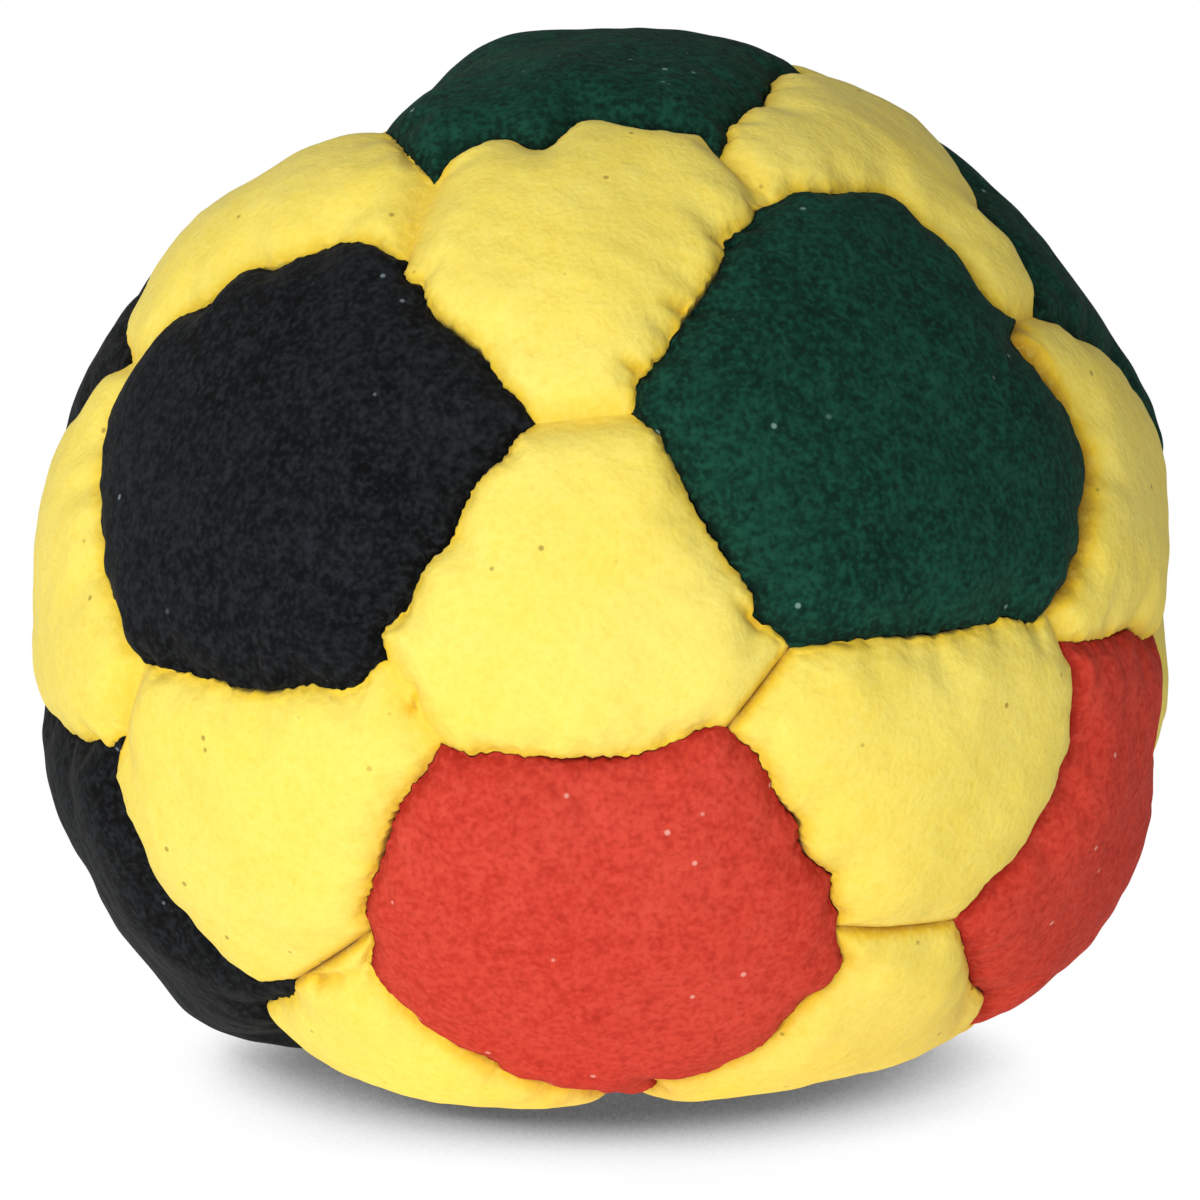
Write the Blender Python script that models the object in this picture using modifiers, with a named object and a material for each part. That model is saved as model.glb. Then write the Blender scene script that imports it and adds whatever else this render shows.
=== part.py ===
"""A hand-stitched suede footbag, lying still with its bottom pressed flat.

Twelve five-sided panels in three colours and twenty yellow six-sided panels meet along ninety seams, as the
faces of a truncated icosahedron do. Each panel is a shell that swells between its seams and turns in along
them. A net of thread runs under the turned-in edges, and the loose pellets inside are drawn as one body.
Metres, +Z up, the front faces -Y, and the ball lies on z = 0.
"""

import math

import bmesh
import bpy
from mathutils import Matrix, Vector

# Driving sizes
PENTAGON_RADIUS = 0.01175  # middle of a five-sided panel to its corner, over the curve
SHORT_SEAM = 0.0043  # seam between two six-sided panels
CROWN_HEIGHT = 0.0017  # a panel's middle above its seams
SUEDE_THICKNESS = 0.001
SEAM_ALLOWANCE = 0.002  # depth of a panel's turned-in edge
SEAM_GAP = 0.0003  # clearance between the edges of two neighbouring panels
THREAD_DIAMETER = 0.0005
THREAD_CLEARANCE = 0.0003  # above and below the thread
FILL_CLEARANCE = 0.0006  # between the pellets and the suede
FOOT_PRESS = 0.0062  # how far the ball's own weight pushes its bottom in
FOOT_CUT = 0.001  # depth to which the pressed bottom is levelled
MERGE_DISTANCE = 0.000001

# How the patchwork is turned: about the upright, then over to the left
PATCHWORK_TURN = math.radians(232.6)
PATCHWORK_LEAN = math.radians(3.6)

# Angles of the pattern
CENTRES_APART = math.atan(2)  # between the middles of neighbouring five-sided panels
RING_LATITUDE = math.atan(0.5)  # of the two rings of five
RING_STEP = math.radians(72)
PRESS_SHARPNESS = 16  # how abruptly the side turns into the pressed bottom
SMOOTH_BELOW = math.radians(50)

# Sizes that follow from the driving ones
SEAM_RADIUS = (2 * PENTAGON_RADIUS + SHORT_SEAM) / CENTRES_APART
BALL_RADIUS = SEAM_RADIUS + CROWN_HEIGHT
CORNER_ANGLE = PENTAGON_RADIUS / SEAM_RADIUS
CENTRE_HEIGHT = BALL_RADIUS - FOOT_PRESS
EDGE_DEPTH = CROWN_HEIGHT + SEAM_ALLOWANCE
THREAD_DEPTH = EDGE_DEPTH + THREAD_CLEARANCE + THREAD_DIAMETER / 2
FILL_EDGE_DEPTH = THREAD_DEPTH + THREAD_DIAMETER / 2 + THREAD_CLEARANCE
FILL_DEPTH = SUEDE_THICKNESS + FILL_CLEARANCE
LEVEL_SHARE = (CENTRE_HEIGHT + FOOT_CUT) / BALL_RADIUS
PRESS_DISTANCE = (CENTRE_HEIGHT + FOOT_CUT) / (1 - LEVEL_SHARE**PRESS_SHARPNESS) ** (1 / PRESS_SHARPNESS)

# Straight pieces that a long seam is drawn in: more for the panels than for what lies inside
PANEL_SEAM_COUNT = 4
INNER_SEAM_COUNT = 2

# Rings of a panel, from its edge to its middle: the way in, and the height reached there
CROWN_RING_SHARES = ((0.3, 0.65), (0.7, 0.95), (1.0, 1.0))
FILL_RING_SHARE = 0.5

# Lumps and hollows of the soft ball: towards the right, back and top, then how wide and how high
LUMP_SHARES = (
    (0.87, -0.09, -0.49, 0.05, 0.045),
    (-0.94, -0.06, -0.34, 0.08, 0.015),
    (0.42, 0.16, 0.89, 0.05, 0.02),
    (-0.40, 0.16, 0.90, 0.04, -0.07),
    (0.96, 0.00, 0.30, 0.04, 0.02),
)

# How far each corner in sight strays from the even pattern, to the right and up. A corner is named by its
# five-sided panel and the panel of that kind that it points at.
CORNER_SHIFT_SHARES = {
    ("black_front_left", "green_top"): (0.10, -0.13),
    ("black_front_left", "green_front_right"): (0.03, -0.04),
    ("black_front_left", "red_front"): (0.00, 0.02),
    ("black_front_left", "black_lower_left"): (-0.08, -0.03),
    ("black_front_left", "black_left"): (-0.08, 0.06),
    ("green_front_right", "black_front_left"): (0.03, -0.03),
    ("green_front_right", "red_front"): (0.02, 0.00),
    ("green_front_right", "red_right"): (0.13, -0.02),
    ("green_front_right", "green_right"): (0.04, 0.03),
    ("green_front_right", "green_top"): (0.02, 0.01),
    ("red_front", "black_front_left"): (0.00, 0.01),
    ("red_front", "green_front_right"): (-0.02, 0.01),
    ("red_front", "red_right"): (-0.04, 0.07),
    ("red_front", "black_lower_left"): (0.05, 0.13),
    ("red_front", "red_base"): (0.00, -0.12),
    ("green_top", "black_front_left"): (0.04, -0.09),
    ("green_top", "green_front_right"): (0.02, -0.02),
    ("green_right", "green_front_right"): (-0.05, -0.03),
    ("red_right", "green_front_right"): (0.02, 0.06),
    ("red_right", "red_front"): (0.09, 0.01),
    ("black_lower_left", "black_front_left"): (-0.10, -0.05),
    ("black_lower_left", "red_front"): (-0.03, -0.04),
}

UPPER_RING = ("black_front_left", "green_front_right", "green_right", "red_back", "black_left")
LOWER_RING = ("red_front", "red_right", "black_back_right", "green_back_left", "black_lower_left")

# Each six-sided panel lies between three five-sided ones, named anticlockwise
HEXAGONS = {
    "yellow_top_front": ("green_top", "black_front_left", "green_front_right"),
    "yellow_top_right": ("green_top", "green_front_right", "green_right"),
    "yellow_top_back_right": ("green_top", "green_right", "red_back"),
    "yellow_top_back_left": ("green_top", "red_back", "black_left"),
    "yellow_top_left": ("green_top", "black_left", "black_front_left"),
    "yellow_front": ("black_front_left", "red_front", "green_front_right"),
    "yellow_right": ("green_front_right", "red_right", "green_right"),
    "yellow_back_right": ("green_right", "black_back_right", "red_back"),
    "yellow_back_left": ("red_back", "green_back_left", "black_left"),
    "yellow_left": ("black_left", "black_lower_left", "black_front_left"),
    "yellow_front_right": ("red_front", "red_right", "green_front_right"),
    "yellow_right_back": ("red_right", "black_back_right", "green_right"),
    "yellow_back": ("black_back_right", "green_back_left", "red_back"),
    "yellow_left_back": ("green_back_left", "black_lower_left", "black_left"),
    "yellow_front_left": ("black_lower_left", "red_front", "black_front_left"),
    "yellow_base_front_right": ("red_base", "red_right", "red_front"),
    "yellow_base_right": ("red_base", "black_back_right", "red_right"),
    "yellow_base_back": ("red_base", "green_back_left", "black_back_right"),
    "yellow_base_left": ("red_base", "black_lower_left", "green_back_left"),
    "yellow_base_front_left": ("red_base", "red_front", "black_lower_left"),
}

# Finishes: colour, roughness
FINISHES = {
    "black": ("#1F2325", 0.95),
    "green": ("#173F31", 0.95),
    "red": ("#D04535", 0.95),
    "yellow": ("#F4DD5C", 0.95),
    "thread": ("#E9D9A0", 0.6),
    "pellets": ("#E6E2D6", 0.5),
}


def linear_colour(code):
    """A colour written as sRGB hex, in linear values with full alpha."""
    shades = (int(code[start : start + 2], 16) / 255 for start in (1, 3, 5))
    return [s / 12.92 if s <= 0.04045 else ((s + 0.055) / 1.055) ** 2.4 for s in shades] + [1]


def finish(name):
    """The material of that name, made when it is first asked for."""
    if name not in bpy.data.materials:
        colour, roughness = FINISHES[name]
        material = bpy.data.materials.new(name)
        material.use_nodes = True
        shader = material.node_tree.nodes["Principled BSDF"]
        shader.inputs["Base Color"].default_value = linear_colour(colour)
        shader.inputs["Roughness"].default_value = roughness
        shader.inputs["Metallic"].default_value = 0
    return bpy.data.materials[name]


def pentagon_directions():
    """Directions of the twelve five-sided panels: one on top, two staggered rings of five, and one below."""
    ring_radius = math.cos(RING_LATITUDE)
    ring_height = math.sin(RING_LATITUDE)
    directions = {"green_top": Vector((0, 0, 1)), "red_base": Vector((0, 0, -1))}
    for step, (upper, lower) in enumerate(zip(UPPER_RING, LOWER_RING)):
        for name, turn, height in ((upper, step, ring_height), (lower, step + 0.5, -ring_height)):
            angle = turn * RING_STEP
            directions[name] = Vector((ring_radius * math.cos(angle), ring_radius * math.sin(angle), height))
    pose = Matrix.Rotation(-PATCHWORK_LEAN, 3, "Y") @ Matrix.Rotation(PATCHWORK_TURN, 3, "Z")
    return {name: pose @ direction for name, direction in directions.items()}


PENTAGONS = pentagon_directions()


def neighbours(name):
    """The five nearest five-sided panels, anticlockwise as seen from outside."""
    middle = PENTAGONS[name]
    near = [other for other in PENTAGONS if other != name and middle.dot(PENTAGONS[other]) > 0]
    side = PENTAGONS[near[0]] - middle * middle.dot(PENTAGONS[near[0]])
    left = middle.cross(side)
    return sorted(near, key=lambda other: math.atan2(left.dot(PENTAGONS[other]), side.dot(PENTAGONS[other])))


def corner(name, other):
    """Direction of the five-sided panel's corner that points at the other one."""
    middle = PENTAGONS[name]
    even = Matrix.Rotation(CORNER_ANGLE, 3, middle.cross(PENTAGONS[other])) @ middle
    right, up = CORNER_SHIFT_SHARES.get((name, other), (0, 0))
    return (even + Vector((right, 0, up))).normalized()


def long_seam(start, end, count):
    """Directions along a long seam, without its far end."""
    return [start.slerp(end, piece / count) for piece in range(count)]


def pentagon_outline(name, count):
    """Directions round a five-sided panel: five long seams."""
    corners = [corner(name, other) for other in neighbours(name)]
    outline = []
    for start, end in zip(corners, corners[1:] + corners[:1]):
        outline += long_seam(start, end, count)
    return outline


def hexagon_outline(name, count):
    """Directions round a six-sided panel: long seams and short ones by turns, the short ones straight."""
    around = HEXAGONS[name]
    outline = []
    for place, own in enumerate(around):
        following = around[(place + 1) % 3]
        previous = around[place - 1]
        outline += long_seam(corner(own, previous), corner(own, following), count)
        outline.append(corner(own, following))
    return outline


def outlines(count):
    """Every panel's outline by the name of its node, with long seams drawn in that many pieces."""
    found = {f"{name}_pentagon": pentagon_outline(name, count) for name in PENTAGONS}
    found.update({f"{name}_hexagon": hexagon_outline(name, count) for name in HEXAGONS})
    return found


def cover_radius(direction):
    """The ball's middle to its crowns: a lumpy sphere whose lower side turns into a nearly level bottom."""
    swell = 1
    for right, back, up, width, height in LUMP_SHARES:
        swell += height * math.exp((direction.dot(Vector((right, back, up)).normalized()) - 1) / width)
    radius = BALL_RADIUS * swell
    pressed = max(0, -direction.z) * radius / PRESS_DISTANCE
    return radius * (1 + pressed**PRESS_SHARPNESS) ** (-1 / PRESS_SHARPNESS)


def under_cover(direction, depth):
    """The point in that direction, that deep under the crowns."""
    return direction * (cover_radius(direction) - depth)


def above_ground(point, height):
    """The point, lifted to that height where it lies lower."""
    return Vector((point.x, point.y, max(point.z, height - CENTRE_HEIGHT)))


def insets(outline, distance):
    """Steps in from the seams round a panel that keep that distance from the seams on both sides."""
    walls = [start.cross(end).normalized() for start, end in zip(outline, outline[1:] + outline[:1])]
    steps = []
    for before, after in zip(walls[-1:] + walls[:-1], walls):
        steps.append((before + after) * (distance / (1 + before.dot(after))))
    return steps


def middle_of(outline):
    """Direction of a panel's middle."""
    return sum(outline, Vector((0, 0, 0))).normalized()


def crown_depth(share):
    """Depth under the crown at that share of the way from a panel's edge to its middle."""
    before, low = 0, 0
    for way, high in CROWN_RING_SHARES:
        if share <= way:
            risen = low + (high - low) * (share - before) / (way - before)
            return CROWN_HEIGHT * (1 - risen)
        before, low = way, high
    return 0


def ring_towards_middle(outline, share, extra_depth):
    """Points of a ring at that share of the way in, under the crown by its own depth and the extra one."""
    middle = middle_of(outline)
    directions = [edge.lerp(middle, share).normalized() for edge in outline]
    return [under_cover(direction, crown_depth(share) + extra_depth) for direction in directions]


def raise_face(bm, face, places):
    """Extrudes a face and moves the corners of its copy to the given places."""
    raised = bmesh.ops.extrude_discrete_faces(bm, faces=[face])["faces"][0]
    for vert, place in zip(raised.verts, places):
        vert.co = place
    return raised


def close_middle(bm, face, place):
    """Splits a face into triangles that meet at the given place."""
    bmesh.ops.poke(bm, faces=[face])["verts"][0].co = place


def add_object(name, mesh, slot, collection, ball):
    """Puts the mesh into the collection, on the ball's centre, with its finish."""
    mesh.shade_smooth()
    mesh.set_sharp_from_angle(angle=SMOOTH_BELOW)
    mesh.materials.append(finish(slot))
    piece = bpy.data.objects.new(name, mesh)
    piece.parent = ball
    collection.objects.link(piece)
    return piece


def panel_mesh(name, outline):
    """A panel's outer side: the turned-in edge, then rings up to its crown, closed in the middle."""
    steps_in = insets(outline, SEAM_GAP / 2)
    edge = [under_cover(at, EDGE_DEPTH) + step for at, step in zip(outline, steps_in)]
    lip = [under_cover(at, CROWN_HEIGHT) + step for at, step in zip(outline, steps_in)]
    bm = bmesh.new()
    face = bm.faces.new([bm.verts.new(place) for place in edge])
    face = raise_face(bm, face, [above_ground(place, 0) for place in lip])
    for share, _ in CROWN_RING_SHARES[:-1]:
        ring = ring_towards_middle(outline, share, 0)
        face = raise_face(bm, face, [above_ground(place, 0) for place in ring])
    close_middle(bm, face, above_ground(under_cover(middle_of(outline), 0), 0))
    mesh = bpy.data.meshes.new(name)
    bm.to_mesh(mesh)
    bm.free()
    return mesh


def make_panel(name, outline, collection, ball):
    """One suede panel: its outer side with the thickness of the suede inwards."""
    colour = name.split("_")[0]
    panel = add_object(name, panel_mesh(name, outline), colour, collection, ball)
    wall = panel.modifiers.new("suede thickness", "SOLIDIFY")
    wall.thickness = SUEDE_THICKNESS
    wall.offset = -1
    wall.use_even_offset = True


def make_seam_thread(collection, ball):
    """The net of thread under all turned-in edges: a strip round each panel's opening, given its thickness."""
    bm = bmesh.new()
    for outline in outlines(INNER_SEAM_COUNT).values():
        along_seam = [under_cover(at, THREAD_DEPTH) for at in outline]
        steps_in = insets(outline, THREAD_DIAMETER / 2)
        face = bm.faces.new([bm.verts.new(place) for place in along_seam])
        opening = raise_face(bm, face, [place + step for place, step in zip(along_seam, steps_in)])
        bmesh.ops.delete(bm, geom=[opening], context="FACES_ONLY")
    bmesh.ops.remove_doubles(bm, verts=bm.verts, dist=MERGE_DISTANCE)
    mesh = bpy.data.meshes.new("seam_thread")
    bm.to_mesh(mesh)
    bm.free()
    net = add_object("seam_thread", mesh, "thread", collection, ball)
    strand = net.modifiers.new("strand thickness", "SOLIDIFY")
    strand.thickness = THREAD_DIAMETER
    strand.offset = 0
    strand.use_even_offset = True


def make_pellet_fill(collection, ball):
    """The body of pellets: it fills each panel's crown and sinks under the seams and their thread."""
    ground = SUEDE_THICKNESS + FILL_CLEARANCE
    bm = bmesh.new()
    for outline in outlines(INNER_SEAM_COUNT).values():
        under_seam = [under_cover(at, FILL_EDGE_DEPTH) for at in outline]
        steps_in = insets(outline, SEAM_GAP / 2 + SUEDE_THICKNESS + FILL_CLEARANCE)
        inside_edge = [place + step for place, step in zip(under_seam, steps_in)]
        crown = ring_towards_middle(outline, FILL_RING_SHARE, FILL_DEPTH)
        face = bm.faces.new([bm.verts.new(place) for place in under_seam])
        face = raise_face(bm, face, inside_edge)
        face = raise_face(bm, face, [above_ground(place, ground) for place in crown])
        close_middle(bm, face, above_ground(under_cover(middle_of(outline), FILL_DEPTH), ground))
    bmesh.ops.remove_doubles(bm, verts=bm.verts, dist=MERGE_DISTANCE)
    mesh = bpy.data.meshes.new("pellet_fill")
    bm.to_mesh(mesh)
    bm.free()
    add_object("pellet_fill", mesh, "pellets", collection, ball)


def main():
    for leftover in list(bpy.data.objects):
        bpy.data.objects.remove(leftover)
    collection = bpy.data.collections.new("footbag")
    bpy.context.scene.collection.children.link(collection)
    ball = bpy.data.objects.new("ball_centre", None)
    ball.location.z = CENTRE_HEIGHT
    collection.objects.link(ball)
    for name, outline in outlines(PANEL_SEAM_COUNT).items():
        make_panel(name, outline, collection, ball)
    make_seam_thread(collection, ball)
    make_pellet_fill(collection, ball)


main()
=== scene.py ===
import math

import bmesh
import bpy
import numpy as np
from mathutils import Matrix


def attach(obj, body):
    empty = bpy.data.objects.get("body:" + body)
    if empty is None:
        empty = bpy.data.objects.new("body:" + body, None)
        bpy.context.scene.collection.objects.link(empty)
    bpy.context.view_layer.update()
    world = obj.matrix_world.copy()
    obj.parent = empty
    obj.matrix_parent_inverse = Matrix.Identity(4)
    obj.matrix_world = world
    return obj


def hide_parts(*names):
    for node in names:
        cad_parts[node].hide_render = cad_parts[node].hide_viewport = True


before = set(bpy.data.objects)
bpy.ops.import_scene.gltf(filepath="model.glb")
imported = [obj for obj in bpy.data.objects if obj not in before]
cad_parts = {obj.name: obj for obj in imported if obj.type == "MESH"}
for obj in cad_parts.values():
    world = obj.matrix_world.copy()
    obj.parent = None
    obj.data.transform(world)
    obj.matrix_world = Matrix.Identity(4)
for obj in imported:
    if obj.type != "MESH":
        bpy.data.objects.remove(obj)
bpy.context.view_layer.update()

# A stitched suede footbag: thirty-two padded panels over loose pellets. Metres, the ball lies on z = 0.

MM = 0.001

# The ball, as in the CAD
PENTAGON_RADIUS = 11.75 * MM  # middle of a five-sided panel to its corner, over the curve
SHORT_SEAM = 4.3 * MM  # seam between two six-sided panels
CROWN_HEIGHT = 1.7 * MM  # a panel's middle above its seams
FOOT_PRESS = 6.2 * MM  # how far the ball's own weight pushes its bottom in
FOOT_CUT = 1 * MM  # depth to which the pressed bottom is levelled
FOOT_LEAN = np.array((-0.03, 0, 1))  # up from the pressed bottom: the ball lies on its left half
FOOT_LIFT = 0.4 * MM  # how much less the bottom is pressed than in the CAD
PRESS_SHARPNESS = 16  # how abruptly the side turns into the pressed bottom
PATCHWORK_TURN = math.radians(232.6)
PATCHWORK_LEAN = math.radians(3.6)
RING_LATITUDE = math.atan(0.5)
RING_STEP = math.radians(72)
SEAM_RADIUS = (2 * PENTAGON_RADIUS + SHORT_SEAM) / math.atan(2)
BALL_RADIUS = SEAM_RADIUS + CROWN_HEIGHT
CORNER_ANGLE = PENTAGON_RADIUS / SEAM_RADIUS
CENTRE_HEIGHT = BALL_RADIUS - FOOT_PRESS
LEVEL_HEIGHT = CENTRE_HEIGHT + FOOT_CUT
LEVEL_SHARE = LEVEL_HEIGHT / BALL_RADIUS
PRESS_SHAPE = (1 - LEVEL_SHARE**PRESS_SHARPNESS) ** (1 / PRESS_SHARPNESS)
PRESS_DISTANCE = (LEVEL_HEIGHT - FOOT_LIFT) / PRESS_SHAPE

# Lumps and hollows: towards the right, back and top, then how wide and how high
LUMPS = (
    (0.87, -0.09, -0.49, 0.05, 0.045),
    (-0.94, -0.06, -0.34, 0.08, 0.015),
    (0.42, 0.16, 0.89, 0.05, 0.02),
    (-0.41, 0.16, 0.90, 0.03, -0.13),
    (0.96, 0.00, 0.30, 0.04, 0.02),
    (-0.90, 0.08, 0.42, 0.04, -0.015),
    (0.94, -0.06, -0.34, 0.012, -0.006),
    (1.00, 0.01, 0.07, 0.010, -0.026),
    (0.94, 0.06, 0.34, 0.012, 0.017),
    (0.87, 0.08, 0.49, 0.012, -0.005),
    (0.64, 0.13, 0.75, 0.012, -0.003),
    (0.50, 0.15, 0.85, 0.012, 0.010),
    (0.17, 0.17, 0.97, 0.012, 0.013),
    (0.00, 0.17, 0.98, 0.012, -0.007),
    (-0.17, 0.17, 0.97, 0.012, 0.045),
    (-0.30, 0.16, 0.94, 0.012, 0.020),
    (-0.34, 0.16, 0.92, 0.012, 0.026),
    (-0.50, 0.15, 0.85, 0.012, -0.005),
    (-0.87, 0.08, 0.49, 0.012, -0.004),
    (-0.94, 0.06, 0.34, 0.012, 0.012),
    (-1.00, 0.00, 0.00, 0.012, -0.007),
    (-0.94, -0.06, -0.34, 0.012, -0.006),
    (-0.77, -0.11, -0.63, 0.012, 0.007),
    (-0.66, -0.13, -0.74, 0.006, 0.016),
    (0.77, -0.11, -0.63, 0.012, 0.003),
    (0.63, -0.13, -0.77, 0.003, 0.030),
    (0.74, -0.12, -0.67, 0.003, -0.020),
    (-0.20, -0.60, -0.77, 0.012, 0.03),
    (-0.50, -0.35, -0.79, 0.020, -0.03),
)

# The lips along the seams
SEAM_LIFT = 0.25 * MM  # how much nearer the surface the seams lie than in the CAD
# How wide a lip rounds over, how bluntly, and what share of the tuck it gets. Then how far from the seam the
# suede is darkened by painted shade, and how much of it: from 1 to 2 it turns to the darkest painted shade
LIP = (1.6 * MM, 0.55, 1, 0.45 * MM, 1)  # along a long seam
SHADED_LIP = (1.6 * MM, 0.55, 1, 0.75 * MM, 2)  # where the neighbour bulges over it, with the darkest painted shade
FOLD = (2.4 * MM, 1.4, 0, 0.8 * MM, 0.6)  # a short seam is a soft fold
CRISP_FOLD = (1.6 * MM, 0.7, 0.6, 0.35 * MM, 1.7)  # or is pulled tight, with a thin line of dark painted shade
SHADED_SEAMS = {("green_front_right", "red_right", "green_right")}
CRISP_FOLDS = {
    ("red_front", "green_front_right"),
    ("red_front", "black_lower_left"),
    ("red_front", "red_right"),
}
LIP_RISE = 0.65 * MM  # how high a lip rises above its seam
DOME_REACH = 6.5 * MM  # from a seam to where a panel is highest
DOME_RISE = 0.15 * MM
LIP_MEETING = 6  # how sharply two lips meet at a corner, and two sides of the dome in the middle
DOME_MEETING = 3
ON_SEAM = 0.002 * MM  # a point nearer to a seam than this lies on it
MERGE_DISTANCE = 0.0005 * MM
FOLD_STEADY = 1 * MM  # how near a short seam the suede stays as laid when it fills out
TUCK_DEPTH = 1.1 * MM  # how deep a panel's edge goes down into its seam
SEAM_GAP = 0.03 * MM  # between the lips of a long seam; those of a short one touch
STITCH_DIP = 0.3  # share of the lip's height that a stitch pulls down
STITCH_WIDTH = 0.4 * MM
PUCKER_LENGTH = 1.5 * MM  # how far the fold at a stitch runs into the panel
PUCKER_SPREAD = 0.3  # how much wider the fold gets for each millimetre into the panel
PUCKER_DEPTH = 0.035 * MM
FRAY = 0.035 * MM  # how far the cut edges waver, and how often and how deep into the panel
FRAY_PITCH = 0.4 * MM
FRAY_REACH = 0.5 * MM
BROAD_FRAY = (2.6, 0.8)  # how much longer its broad waves are, and how high beside the fine ones
SUEDE_THICKNESS = 0.9 * MM
WALL_SHARE = 0.07  # how much nearer a panel's middle its inner side lies
FINER_LEVELS = 2  # how often each face is split into four at the end

# The unevenness of the suede: wave length and height
FILLING = (5.5 * MM, 0.07 * MM)  # pellets that press from inside
HANDLING = (1.6 * MM, 0.015 * MM)
GATHERS = (0.55 * MM, 0.02 * MM)
GATHER_REACH = 0.7 * MM  # how far from a seam the gathers fade
STEADY_REACH = 0.3 * MM  # how near a seam all of it fades

# Rows of a panel from its seams to its middle: share of the way
LONG_ROWS = (0, 0.006, 0.016, 0.04, 0.085, 0.145, 0.21, 0.28, 0.355, 0.435, 0.52, 0.61, 0.705, 0.8, 0.9, 1)
SHORT_ROWS = (0, 0.008, 0.025, 0.065, 0.13, 0.22, 0.34, 0.5, 0.72, 1)
SEAM_POINTS = 161
STRAY_BLUR = 2.5  # points over which a stray is smoothed
STRAY_RISE = 12  # how fast a stray sets in at a seam's ends
STITCH_REACH = 12  # points to either side of a stitch over which its pull on the seam is measured
FULL_PULL = 0.5  # a stitch that pulls the seam in by so many millimetres dips fully

# A long seam that the photograph doesn't show
SCALLOP_COUNT = (4.2, 5.6)  # fewest and most scallops along it
SCALLOP_HEIGHT = (-0.1, 0.45)  # millimetres
SCALLOP_KNOTS = 7  # heights drawn along it
SCALLOP_BLUNTNESS = 0.7
SCALLOP_RISE = 8
SEAM_DRIFT = 0.5  # millimetres to either side

# The cloth that is filled out
CLOTH_SCALE = 40  # the ball is simulated this many times its size
CLOTH_FRAMES = 20
CLOTH_QUALITY = 6
CLOTH_MASS = 0.3
CLOTH_PRESSURE = 4
CLOTH_STRETCH = 20
CLOTH_SHEAR = 8
CLOTH_BENDING = 1.0
CLOTH_CAP = 0.6 * MM  # no point is moved further than this
SUEDE_FULLNESS = 0.05  # how much wider the suede is than the place it is sewn to
SEWN_WIDTH = 0.07 * MM

UPPER_RING = ("black_front_left", "green_front_right", "green_right", "red_back", "black_left")
LOWER_RING = ("red_front", "red_right", "black_back_right", "green_back_left", "black_lower_left")

HEXAGONS = {
    "yellow_top_front": ("green_top", "black_front_left", "green_front_right"),
    "yellow_top_right": ("green_top", "green_front_right", "green_right"),
    "yellow_top_back_right": ("green_top", "green_right", "red_back"),
    "yellow_top_back_left": ("green_top", "red_back", "black_left"),
    "yellow_top_left": ("green_top", "black_left", "black_front_left"),
    "yellow_front": ("black_front_left", "red_front", "green_front_right"),
    "yellow_right": ("green_front_right", "red_right", "green_right"),
    "yellow_back_right": ("green_right", "black_back_right", "red_back"),
    "yellow_back_left": ("red_back", "green_back_left", "black_left"),
    "yellow_left": ("black_left", "black_lower_left", "black_front_left"),
    "yellow_front_right": ("red_front", "red_right", "green_front_right"),
    "yellow_right_back": ("red_right", "black_back_right", "green_right"),
    "yellow_back": ("black_back_right", "green_back_left", "red_back"),
    "yellow_left_back": ("green_back_left", "black_lower_left", "black_left"),
    "yellow_front_left": ("black_lower_left", "red_front", "black_front_left"),
    "yellow_base_front_right": ("red_base", "red_right", "red_front"),
    "yellow_base_right": ("red_base", "black_back_right", "red_right"),
    "yellow_base_back": ("red_base", "green_back_left", "black_back_right"),
    "yellow_base_left": ("red_base", "black_lower_left", "green_back_left"),
    "yellow_base_front_left": ("red_base", "red_front", "black_lower_left"),
}

# How far each corner in sight strays from the even pattern, to the right and up, in shares of the radius
CORNER_SHIFTS = {
    ("black_front_left", "green_top"): (0.15, -0.22),
    ("black_front_left", "green_front_right"): (0.03, -0.06),
    ("black_front_left", "red_front"): (0.01, 0.02),
    ("black_front_left", "black_lower_left"): (-0.01, -0.02),
    ("black_front_left", "black_left"): (-0.02, 0.03),
    ("green_front_right", "black_front_left"): (0.02, -0.05),
    ("green_front_right", "red_front"): (0.00, 0.00),
    ("green_front_right", "red_right"): (0.05, -0.01),
    ("green_front_right", "green_right"): (-0.01, 0.00),
    ("green_front_right", "green_top"): (-0.01, -0.06),
    ("red_front", "black_front_left"): (0.01, 0.02),
    ("red_front", "green_front_right"): (-0.03, 0.02),
    ("red_front", "red_right"): (-0.066, 0.106),
    ("red_front", "black_lower_left"): (0.055, 0.165),
    ("red_front", "red_base"): (0.01, -0.12),
    ("green_top", "black_front_left"): (0.10, -0.22),
    ("green_top", "green_front_right"): (-0.02, -0.15),
    ("green_right", "green_front_right"): (-0.22, -0.15),
    ("red_right", "green_front_right"): (-0.04, 0.06),
    ("red_right", "green_right"): (-0.48, 0.00),
    ("red_right", "red_base"): (0.05, 0.00),
    ("red_right", "red_front"): (0.042, 0.037),
    ("black_lower_left", "black_front_left"): (-0.02, -0.02),
    ("black_lower_left", "red_front"): (0.015, 0.005),
    ("black_left", "black_front_left"): (0.20, -0.09),
}

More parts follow.
